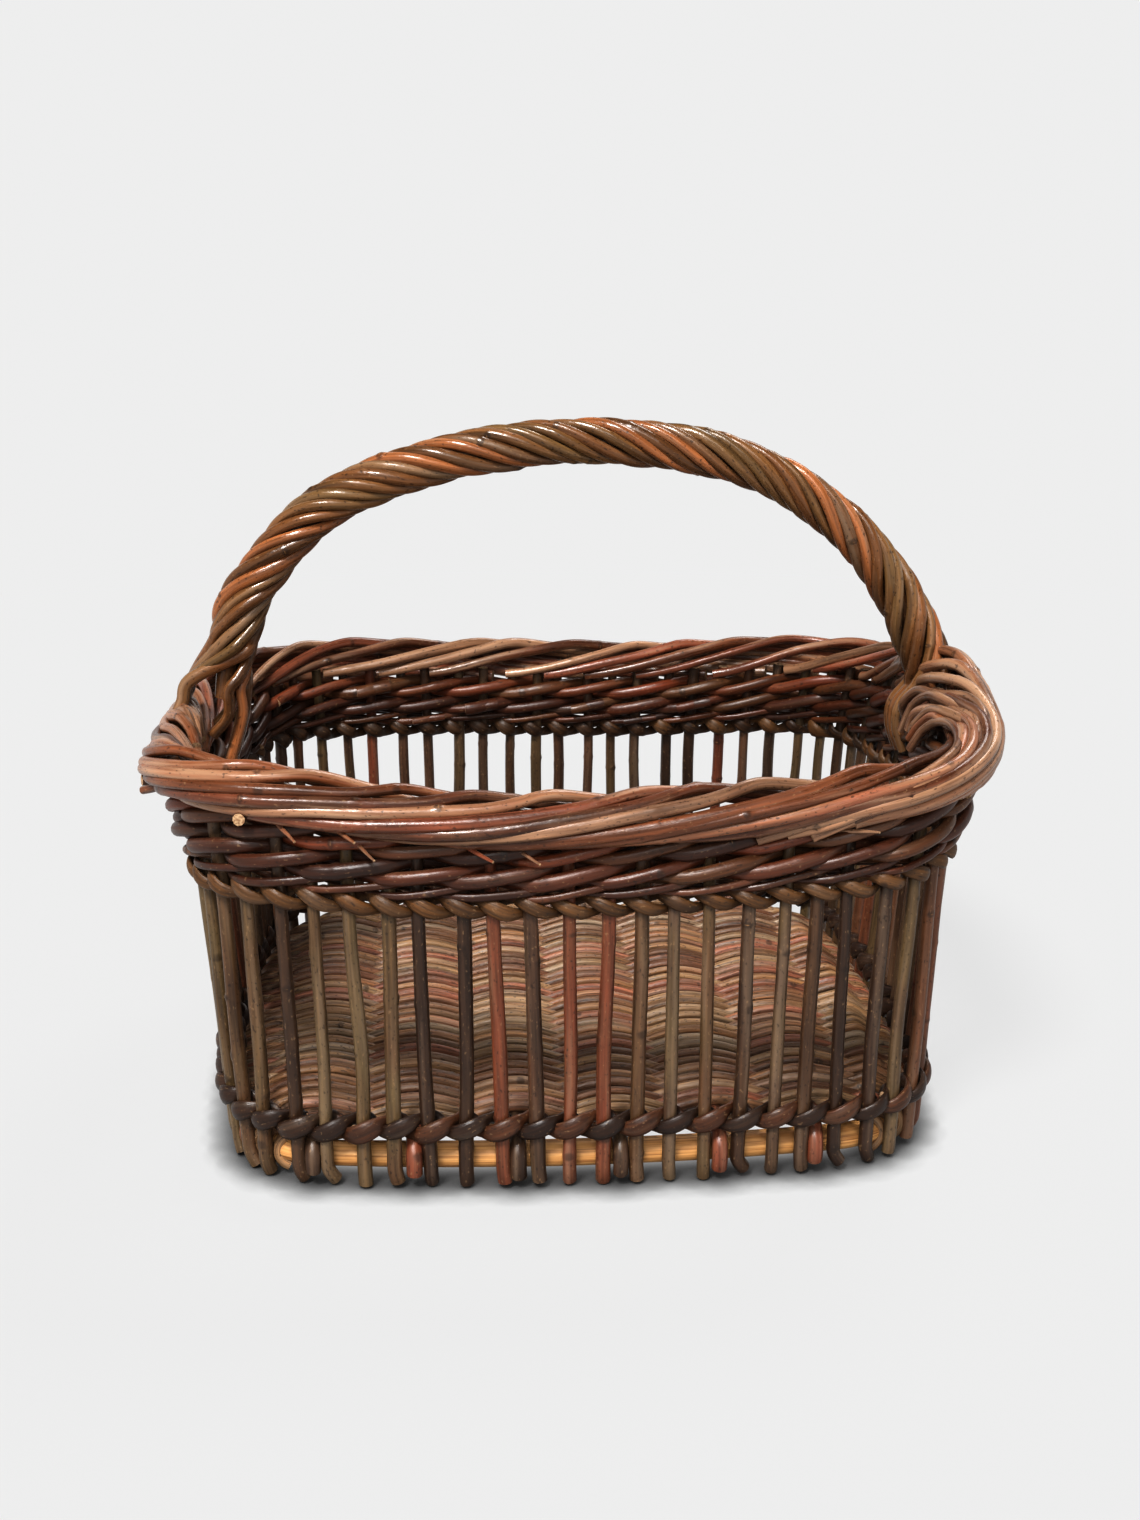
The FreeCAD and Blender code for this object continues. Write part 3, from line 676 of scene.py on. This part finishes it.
def make_weavers(materials):
    """The rows of the base's plain weave, in the pieces that stand for the frame's slabs."""
    for first in range(0, ROW_COUNT, ROWS_IN_PIECE):
        rods = Rods(100 + first)
        rng = rods.rng
        for row in range(first, first + ROWS_IN_PIECE):
            path = weaver_path(rng, row)
            size = rng.uniform(0.88, 1.06)
            taper = size * np.linspace(1.06, 0.9, len(path))[:: rng.choice((1, -1))]
            rods.add(path, WEAVER_RADIUS * taper, sides=10, knots=0.09)
        number = first // ROWS_IN_PIECE + 1
        node = f"base_weave_{number}"
        rods.build(f"base_weavers_{number}", materials["base"], "base_bark", [node])


# ---------------- stakes

STAKE_FOOT = 11 * MM
STAKE_TOP = 188 * MM
STAKE_GROUPS = (
    ("stakes_front", (*range(70, 76), *range(0, 6))),
    ("stakes_front_right", range(6, 13)),
    ("stakes_right", range(13, 25)),
    ("stakes_back_right", range(25, 32)),
    ("stakes_back", range(32, 44)),
    ("stakes_back_left", range(44, 51)),
    ("stakes_left", range(51, 63)),
    ("stakes_front_left", range(63, 70)),
)


def stake_path(rng, number):
    """One upright: a foot that ends under the hoop, then up to the border."""
    count = 46
    share = (number + 0.5) / STAKE_COUNT
    foot = share + rng.uniform(-1.8, 1.8) * MM / RING_LENGTH
    top = share + rng.uniform(-3.2, 3.2) * MM / RING_LENGTH
    heights = np.linspace(STAKE_FOOT, STAKE_TOP, count)
    rise = (heights - heights[0]) / (heights[-1] - heights[0])
    sway = drift(rng, count, 16, 1.3 * MM) / RING_LENGTH
    bow = drift(rng, count, 20, 0.6 * MM)
    path, outward = wall(foot + (top - foot) * rise + sway, heights, bow)
    start, out = path[0], outward[0]
    along = np.array([-out[1], out[0], 0.0])
    aside = rng.choice((0.3, 0.8, 1.4, 3.6)) * MM
    inside = rng.uniform(0.0, 3.0) * MM
    low = rng.uniform(1.6, 5.0) * MM
    foot_points = [
        start + along * aside - out * inside + (0, 0, low - start[2]),
        start + along * aside * 0.4 - out * inside * 0.25 + (0, 0, (low - start[2]) * 0.5),
    ]
    return resample(np.vstack([spline([*foot_points, start, path[1]], 10)[:-2], path[1:]]), 80)


def make_stakes(materials):
    """The uprights, in the groups that the frame has."""
    for name, numbers in STAKE_GROUPS:
        rods = Rods(sum(map(ord, name)))
        for number in numbers:
            path = stake_path(rods.rng, number)
            thick = STAKE_RADIUS * rods.rng.uniform(0.9, 1.08)
            taper = np.linspace(1.04, 0.9, len(path))
            rods.add(path, thick * taper, sides=14, knots=0.045)
        rods.build(f"{name}_rods", materials["stake"], "stake_bark", [name])


# ---------------- twined rows

# points of a twined path for each stake
STEPS = 10


def twine(rng, strands, period, outside, height, climb, reach, square=2.6, loose=0.5, bow=0.0):
    """Closed paths of rods twined round the stakes. Each runs outside the stakes for the share
    outside of its period (in stakes), then inside. climb is half the height that it gains on
    the outside, reach how far it stands from the stake line, square how flat its floats are
    and bow how far they bulge. Gives the path, the outward normals and the place in the
    float: 0 to 1 outside the stakes, -1 to 0 inside."""
    whole = STAKE_COUNT % period == 0
    laps = 1 if whole else strands
    for strand in range(strands if whole else 1):
        count = STAKE_COUNT * laps * STEPS
        stakes = np.arange(count) / STEPS
        turn = (stakes / period - strand / strands) % 1.0
        is_out = turn < outside
        half = np.where(is_out, turn / outside, (turn - outside) / (1 - outside))
        side = np.where(is_out, 1.0, -1.0)
        swing = np.tanh(square * np.sin(PI * half)) / math.tanh(square)
        level = side * climb * ((half - 0.5) + (smooth(0.1, 0.9, half) - 0.5))
        wander = drift(rng, count, 2.6 * STEPS, loose * MM, True)
        stray = drift(rng, count, 2.2 * STEPS, loose * 0.7 * MM, True)
        out = side * (reach * swing + bow * np.sin(PI * half)) + stray
        path, outward = wall(stakes / STAKE_COUNT, height + level + wander, out)
        yield path, outward, np.where(is_out, half, half - 1)


def strand_piece(name, seed, material, nodes, slot, width, flat, leaf, length, row):
    """A row of twined rods as one piece. The rods are width in radius, flat times as thick,
    and narrower by the share leaf where they pass between stakes. Each is about length long
    and ends inside the basket, where the next one begins."""
    rods = Rods(seed)
    rng = rods.rng
    for path, outward, place in twine(rng, **row):
        count = len(path)
        middle_inside = np.where((place[:-1] < -0.5) & (place[1:] >= -0.5))[0]
        step = np.linalg.norm(path[1] - path[0])
        every = max(1, round(length / (step * count / len(middle_inside))))
        cuts = middle_inside[rng.randrange(every) :: every]
        narrow = 1 - leaf * (1 - np.sin(PI * np.abs(place)) ** 0.7)
        for start, stop in zip(cuts, [*cuts[1:], cuts[0] + count]):
            index = np.arange(start - 6, stop + 7) % count
            size = len(index)
            inwards = (1 - smooth(0, 12, from_end(size))) * 2.2 * MM
            line = path[index] - outward[index] * inwards[:, None]
            taper = np.linspace(1.1, 0.84, size)[:: rng.choice((1, -1))]
            rods.add(
                line,
                width * narrow[index] * taper,
                sides=12,
                facing=outward[index],
                flat=flat,
                knots=0.08,
            )
    rods.build(name, material, slot, nodes)


def make_rows(materials):
    """The two fitches and the three wales."""
    fitch = dict(slot="fitch_bark", flat=0.46, leaf=0.42, length=0.6)
    wale = dict(slot="wale_bark", flat=0.92, leaf=0.06, length=0.8)
    pair = dict(strands=2, period=2)
    three = dict(strands=3, period=6, outside=0.52, square=1.5)
    rows = (
        (
            "upper_fitch", "fitch", dict(fitch, width=4.0 * MM),
            dict(pair, outside=0.59, height=148 * MM, climb=-3.3 * MM,
                 reach=4.9 * MM, square=0.5, loose=0.8, bow=0.6 * MM),
        ),
        (
            "lower_fitch", "lower_fitch", dict(fitch, width=4.9 * MM),
            dict(pair, outside=0.61, height=33.5 * MM, climb=3.4 * MM,
                 reach=4.7 * MM, square=0.9, loose=1.1, bow=0.8 * MM),
        ),
        (
            "wale_low", "wale", dict(wale, width=2.1 * MM),
            dict(three, height=155.5 * MM, climb=2.7 * MM, reach=5.4 * MM, loose=1.1, bow=0.8 * MM),
        ),
        (
            "wale_mid", "wale", dict(wale, width=3.6 * MM),
            dict(three, height=164.0 * MM, climb=3.5 * MM, reach=6.8 * MM, loose=0.8, bow=1.0 * MM),
        ),
        (
            "wale_top", "wale", dict(wale, width=3.6 * MM),
            dict(three, height=175.5 * MM, climb=3.7 * MM, reach=7.0 * MM, loose=0.8, bow=1.0 * MM),
        ),
    )
    for number, (name, material, rod, row) in enumerate(rows):
        nodes = [f"{name}_outer", f"{name}_inner"]
        strand_piece(f"{name}_rods", 300 + number, materials[material], nodes, row=row, **rod)


# ---------------- border

BORDER_MIDDLE_OUT = 4.0 * MM
BORDER_MIDDLE_HEIGHT = 191.5 * MM
# how far the rods' middles stand from the border's middle: outside, inside and above
BORDER_OUTSIDE = 13.0 * MM
BORDER_INSIDE = 10.5 * MM
BORDER_ABOVE = 10.4 * MM
BORDER_RODS = 38
# a rod's angles round the border's middle, 0 outwards and 90 up: where it comes out, starts
# over the top, starts down the inside, and ends
BORDER_TURN = (-70, 58, 138, 226)


def border_path(rng, number):
    """One turned-down rod: it comes out under the border, climbs slowly along the outside,
    goes over the top and down along the inside."""
    count = 150
    step = STAKE_COUNT / BORDER_RODS
    outside_length = rng.uniform(4.7, 5.3) * step
    over_length = rng.uniform(1.1, 1.5) * step
    inside_length = rng.uniform(1.5, 2.0) * step
    total = outside_length + over_length + inside_length
    at = np.linspace(0, total, count)
    turns = [0, outside_length, outside_length + over_length, total]
    angle = np.interp(at, turns, BORDER_TURN)
    kernel = np.ones(15) / 15
    angle = np.convolve(np.pad(angle, 7, mode="edge"), kernel, mode="valid")
    angle = angle + drift(rng, count, 30, 6) + rng.uniform(-4, 4)
    crest = np.exp(-(((angle - 88) / 26) ** 2))
    angle = np.radians(angle)
    wide = np.where(np.cos(angle) > 0, BORDER_OUTSIDE, BORDER_INSIDE)
    lift = 1.0 + 0.16 * crest + drift(rng, count, 26, 0.06)
    rising = 1 - 0.8 * np.exp(-at / 0.8)
    out = BORDER_MIDDLE_OUT + wide * np.cos(angle) * lift * rising
    height = BORDER_MIDDLE_HEIGHT + BORDER_ABOVE * np.sin(angle) * lift
    stakes = number * step + at + rng.uniform(-0.25, 0.25)
    path, _ = wall(stakes / STAKE_COUNT, height, out)
    return path


def make_border(materials):
    """The rolled border: the rods lie side by side like the strands of a rope."""
    per_piece = 5
    nodes = (["border_outer"], ["border_top"], ["border_inner"])
    made = 0
    for first in range(0, BORDER_RODS, per_piece):
        rods = Rods(500 + first)
        for number in range(first, min(first + per_piece, BORDER_RODS)):
            path = border_path(rods.rng, number)
            thick = rods.rng.uniform(2.9, 3.7) * MM
            taper = np.interp(np.linspace(0, 1, len(path)), [0, 0.5, 1], [1.08, 1.0, 0.85])
            rods.add(path, thick * taper, sides=14, knots=0.06)
        stands_for = nodes[made] if made < len(nodes) else ()
        made += 1
        rods.build(f"border_rods_{made}", materials["border"], "border_bark", stands_for)


# The rods laid over the border at the handle's feet. The way of each is how far along the
# border it is, its height and its distance outwards, in mm.
OVER_WAY = (
    (0, 180, 9), (22, 184, 14.5), (60, 191, 15.5), (98, 199, 13), (122, 205, 7), (138, 207, 0),
    (152, 203, -5), (164, 195, -6),
)
ACROSS_WAY = (
    (0, 180, 9), (24, 187, 14), (60, 195, 13), (92, 200, 7), (118, 200, 0), (140, 196, -8),
    (158, 190, -14), (172, 181, -17), (180, 172, -16),
)
# name, seed, where the first one starts as a share of the way round, how many, how far apart
# and how unevenly laid in mm, and their way
FOOT_WRAPS = (
    ("right", 608, 0.138, 8, 5.6, 1.0, OVER_WAY),
    ("left", 620, 0.640, 8, 5.6, 1.0, OVER_WAY),
    ("right_inner", 630, 0.058, 6, 10.0, 2.4, ACROSS_WAY),
)


def make_wraps(materials):
    """The rods round the handle's feet: they rise along the outside of the border and go over
    it, side by side, into the basket."""
    for name, seed, first, count, spacing, stray, points in FOOT_WRAPS:
        rods = Rods(seed)
        rng = rods.rng
        for number in range(count):
            start = first * RING_LENGTH + (number * spacing + rng.uniform(-1.2, 1.2) * stray) * MM
            strayed = [
                (along, height + rng.uniform(-1, 1) * stray, out + rng.uniform(-1, 1) * stray)
                for along, height, out in points
            ]
            way = spline(strayed, 110)
            share = (start + way[:, 0] * MM) / RING_LENGTH
            path, _ = wall(share, way[:, 1] * MM, way[:, 2] * MM)
            thick = rng.uniform(2.6, 3.2) * MM * np.linspace(1.05, 0.9, len(path))
            rods.add(path, thick, sides=14, knots=0.06, tint=rng.uniform(0.22, 0.56))
        rods.build(f"foot_wraps_{name}", materials["border"], "border_bark")


# ends of rods that stick out from under the border: share of the way round, height, radius and
# length in mm, and how far they point anticlockwise and upwards for each mm outwards
SHOOTS = (
    (0.880, 182, 3.0, 16, 0.25, -0.05),
    (0.833, 186, 2.2, 20, -0.9, -0.5),
    (0.829, 186, 2.8, 18, 0.2, 0.0),
    (0.889, 181, 1.4, 20, 0.7, -0.3),
    (0.908, 182, 1.6, 20, 0.8, -0.1),
    (0.916, 178, 1.3, 20, 0.7, -0.3),
    (0.955, 180, 1.5, 20, 0.8, -0.2),
    (0.974, 179, 1.2, 20, 0.6, -0.2),
    (0.090, 176, 1.4, 18, 0.9, 0.2),
    (0.300, 180, 1.6, 18, 0.7, -0.3),
    (0.420, 172, 3.2, 13, 0.3, 0.0),
    (0.540, 174, 1.5, 18, 0.8, -0.3),
    (0.610, 170, 2.4, 15, 0.4, -0.2),
    (0.720, 176, 1.6, 18, 0.8, 0.1),
)


def make_shoots(materials):
    """The few cut ends and broken side shoots under the border."""
    rods = Rods(640)
    for share, height, radius, length, right, up in SHOOTS:
        at = np.linspace(0, 1, 9)
        reach = at * length * MM
        curve = 1 - 0.3 * at
        path, _ = wall(
            share + right * reach / RING_LENGTH, height * MM + up * reach * curve, 2 * MM + reach
        )
        tip = 1.0 if radius > 2 else 0.45
        rods.add(path, radius * MM * np.linspace(1.1, tip, 9), sides=10)
    rods.build("border_shoots", materials["border"], "border_bark")


# ---------------- handle

# the handle's middle line, from left to right: across and height in mm
HANDLE_MIDDLE = (
    (-188, 212), (-186, 228), (-181, 248), (-168, 277), (-128, 318), (-61, 343),
    (20, 351), (104, 337), (168, 292), (202, 236), (208, 212),
)
BOW_RADIUS = 5.8 * MM
ROPE_RADIUS = 9.4 * MM
ROPE_STRANDS = 9
STRAND_RADIUS = 3.3 * MM
ROPE_PITCH = 112 * MM
# how far before the rope's end a strand becomes its foot, in mm: usually, and outer left ones
FOOT_LENGTH = 7
OUTER_FOOT_LENGTH = 28


def handle_line(count):
    """The handle's middle line, from the left foot to the right foot."""
    return spline([(across * MM, 0.0, height * MM) for across, height in HANDLE_MIDDLE], count)


# strands this far out on the rope go over the outside of the border, and this far in, inside it
OUTSIDE = 0.4
INSIDE = -0.55


def foot_points(side, outward, aside):
    """Where a strand goes at a foot of the handle, from the rope down into the border. side is
    -1 for the left foot. outward and aside are its place round the rope, from -1 to 1. The
    rows of a table are how far out from the stake line at the rim, the height, and how far to
    the back, in mm."""
    axis = -17 if side < 0 else 4
    rise = 0 if side < 0 else 8
    if outward > OUTSIDE and side < 0:
        table = ((0, 224, 9 * aside), (5, 212, 10 * aside), (9, 201, 11 * aside),
                 (8, 187, 12 * aside))
    elif outward > OUTSIDE:
        table = ((19, 214, 9 * aside + 6), (24, 209, 10 * aside + 16), (22, 200, 10 * aside + 30),
                 (13, 188, 10 * aside + 38))
    elif outward > INSIDE:
        table = ((axis + 10 * outward, 204, 12 * aside), (axis / 2 + 8 * outward, 193, 13 * aside))
    elif side < 0:
        table = ((-27, 205, 9 * aside), (-24, 193, 10 * aside), (-20, 180, 11 * aside),
                 (-16, 167, 12 * aside))
    else:
        table = ((-8, 204, 9 * aside), (-15.5, 194, 9 * aside), (-16.5, 182, 10 * aside),
                 (-12, 168, 11 * aside))
    line = LEVELS[2][1]
    return [
        (side * (line + out * MM), across * MM, (height + rise) * MM)
        for out, height, across in table
    ]


def make_handle(materials):
    """The bow rod, and the rods laid round it like a rope, whose ends go into the border."""
    count = 420
    line = handle_line(count)
    length = float(np.linalg.norm(np.diff(line, axis=0), axis=1).sum())
    along = np.linspace(0, length, count)
    tangent = unit(np.gradient(line, axis=0))
    depth = np.array([0.0, 1.0, 0.0])
    up = np.cross(depth, tangent) * -1
    bow = Rods(700)
    bow.add(line, BOW_RADIUS, sides=14)
    bow.build("handle_bow_rod", materials["handle"], "handle_bark", ["handle_bow"])
    per_mm = count * MM / length
    for strand in range(ROPE_STRANDS):
        rods = Rods(710 + strand)
        rng = rods.rng
        angle = -2 * PI * along / ROPE_PITCH + 2 * PI * strand / ROPE_STRANDS
        angle = angle + drift(rng, count, 50, 0.16)
        flare = 1 + 0.18 * (1 - smooth(0.02, 0.10, np.minimum(along, length - along)))
        radius = ROPE_RADIUS * flare + drift(rng, count, 34, 0.7 * MM)
        path = line + radius[:, None] * (
            np.cos(angle)[:, None] * up + np.sin(angle)[:, None] * depth
        )
        first, last = round(FOOT_LENGTH * per_mm), count - round(FOOT_LENGTH * per_mm)
        left = foot_points(-1, math.cos(angle[first]), math.sin(angle[first]))
        right = foot_points(1, math.cos(angle[last]), math.sin(angle[last]))
        if math.cos(angle[first]) > OUTSIDE:
            first = round(OUTER_FOOT_LENGTH * per_mm)
        kept = path[first:last]
        ends = [
            spline([*left[::-1], kept[0], kept[6], kept[12]], 60),
            spline([kept[-13], kept[-7], kept[-1], *right], 60),
        ]
        path = resample(np.vstack([ends[0][:-1], kept[13:-14], ends[1][1:]]), 460)
        thick = STRAND_RADIUS * rng.uniform(0.88, 1.10)
        rods.add(path, thick * (1 + drift(rng, 460, 40, 0.08)), sides=14, knots=0.07)
        nodes = ["handle_rope"] if strand == 0 else ()
        rods.build(f"handle_strand_{strand + 1}", materials["handle"], "handle_bark", nodes)


# ---------------- floor, light and camera


# the distant lights: name, heading, elevation, strength and softness, angles in degrees
LIGHTS = (
    ("key", -30, 54, 5.3, 16),
    ("front", -6, 30, 1.8, 40),
    ("rim", 150, 50, 1.1, 20),
)
SURROUND = 0.12
# how bright the floor and the walls look, as a linear value
PALE = 0.891
# The floor near the basket gives back this share of the light on it, so that the basket casts
# a faint shadow, and glows with the rest. WALL_LIGHT is about what the walls add to that light.
FLOOR_SHADE = 0.05
WALL_LIGHT = 0.1
SUNLIGHT = sum(light[3] * math.sin(math.radians(light[2])) for light in LIGHTS)
FLOOR_LIGHT = SURROUND + WALL_LIGHT + SUNLIGHT / PI
FLOOR_GLOW = PALE - FLOOR_SHADE * FLOOR_LIGHT
# the painted contact shadow: how far the floor's glow is dimmed by occlusion round what stands on the
# floor, in metres, and how steeply
CONTACT_SHADOW_REACH = 0.018
CONTACT_SHADOW_POWER = 2.6
# the distances from the origin between which the floor's shadows fade out, in metres
FADE = (0.5, 1.6)
WALL_AWAY = 5.0
WALL_HEIGHT = 2.9


def make_stage():
    """A pale floor, and pale walls far away all round it. Away from the basket the floor only
    glows, as evenly as the walls, so that no edge shows between them."""
    glow = (PALE, PALE, PALE, 1)
    n = Nodes("pale_floor")
    place = n.node("ShaderNodeNewGeometry").outputs["Position"]
    away = n.node("ShaderNodeVectorMath", {0: place}, operation="LENGTH").outputs["Value"]
    plain = n.within(away, *FADE)
    lit = n.node(
        "ShaderNodeBsdfDiffuse", {"Color": (FLOOR_SHADE, FLOOR_SHADE, FLOOR_SHADE, 1)}
    ).outputs["BSDF"]
    # occlusion dims the floor's glow next to the basket: a painted contact shadow
    open_sky = n.node("ShaderNodeAmbientOcclusion", {"Distance": CONTACT_SHADOW_REACH}).outputs["AO"]
    own = n.node(
        "ShaderNodeEmission",
        {
            "Color": (FLOOR_GLOW, FLOOR_GLOW, FLOOR_GLOW, 1),
            "Strength": n.maths("POWER", open_sky, CONTACT_SHADOW_POWER),
        },
    )
    near = n.node("ShaderNodeAddShader", {0: lit, 1: own.outputs["Emission"]}).outputs["Shader"]
    far = n.node("ShaderNodeEmission", {"Color": glow}).outputs["Emission"]
    both = n.node("ShaderNodeMixShader", {0: plain, 1: near, 2: far}).outputs["Shader"]
    n.show(both)
    w = Nodes("pale_wall")
    w.show(w.node("ShaderNodeEmission", {"Color": glow}).outputs["Emission"])
    corners = [(x * WALL_AWAY, y * WALL_AWAY) for x, y in ((-1, -1), (1, -1), (1, 1), (-1, 1))]
    shapes = [("floor", n.material, [(x, y, 0) for x, y in corners])]
    for number, (start, end) in enumerate(zip(corners, corners[1:] + corners[:1]), start=1):
        sheet = [(*start, 0), (*end, 0), (*end, WALL_HEIGHT), (*start, WALL_HEIGHT)]
        shapes.append((f"wall_{number}", w.material, sheet))
    for name, material, outline in shapes:
        mesh = bpy.data.meshes.new(name)
        mesh.from_pydata(outline, [], [(0, 1, 2, 3)])
        mesh.materials.append(material)
        made = add_object(name, mesh)
        made.visible_shadow = False


def add_light(name, heading, elevation, strength, softness):
    """A soft distant light, from this heading (degrees from the front, to the right) and
    elevation. softness is how many degrees wide it looks."""
    data = bpy.data.lights.new(name, "SUN")
    data.energy = strength
    data.angle = math.radians(softness)
    light = add_object(name, data)
    turn, rise = math.radians(heading), math.radians(elevation)
    away = Vector(
        (math.sin(turn) * math.cos(rise), -math.cos(turn) * math.cos(rise), math.sin(rise))
    )
    light.rotation_euler = away.to_track_quat("Z", "Y").to_euler()


def make_light():
    """Soft studio light: a dim surround and the distant lights."""
    world = bpy.data.worlds.new("studio")
    world.use_nodes = True
    background = world.node_tree.nodes["Background"]
    background.inputs["Color"].default_value = (1, 1, 1, 1)
    background.inputs["Strength"].default_value = SURROUND
    bpy.context.scene.world = world
    for light in LIGHTS:
        add_light(*light)


# the camera's place in metres, in front of the basket before the turn
CAMERA_DISTANCE = 1.009
CAMERA_HEIGHT = 0.4572
CAMERA_SIDE = 0.0037
CAMERA_TURN = math.radians(3.77)
CAMERA_PITCH = math.radians(15.78)
CAMERA_LENS = 43.8
# of the view: below 1, it deepens the darker tones
GAMMA = 0.73


def make_camera():
    """The camera a little above the basket, turned so that its left end is the nearer one."""
    data = bpy.data.cameras.new("camera")
    data.lens = CAMERA_LENS
    data.sensor_width = 36
    camera = add_object("camera", data)
    cosine, sine = math.cos(CAMERA_TURN), math.sin(CAMERA_TURN)
    camera.location = (
        CAMERA_SIDE * cosine - CAMERA_DISTANCE * sine,
        -CAMERA_SIDE * sine - CAMERA_DISTANCE * cosine,
        CAMERA_HEIGHT,
    )
    camera.rotation_euler = (PI / 2 - CAMERA_PITCH, 0, -CAMERA_TURN)
    bpy.context.scene.camera = camera


# ---------------- the whole scene

materials = make_materials()
make_hoop(materials)
make_sticks(materials)
make_weavers(materials)
make_stakes(materials)
make_rows(materials)
make_border(materials)
make_wraps(materials)
make_shoots(materials)
make_handle(materials)
make_stage()
make_light()
make_camera()
bpy.context.scene.view_settings.view_transform = "Standard"
bpy.context.scene.view_settings.gamma = GAMMA
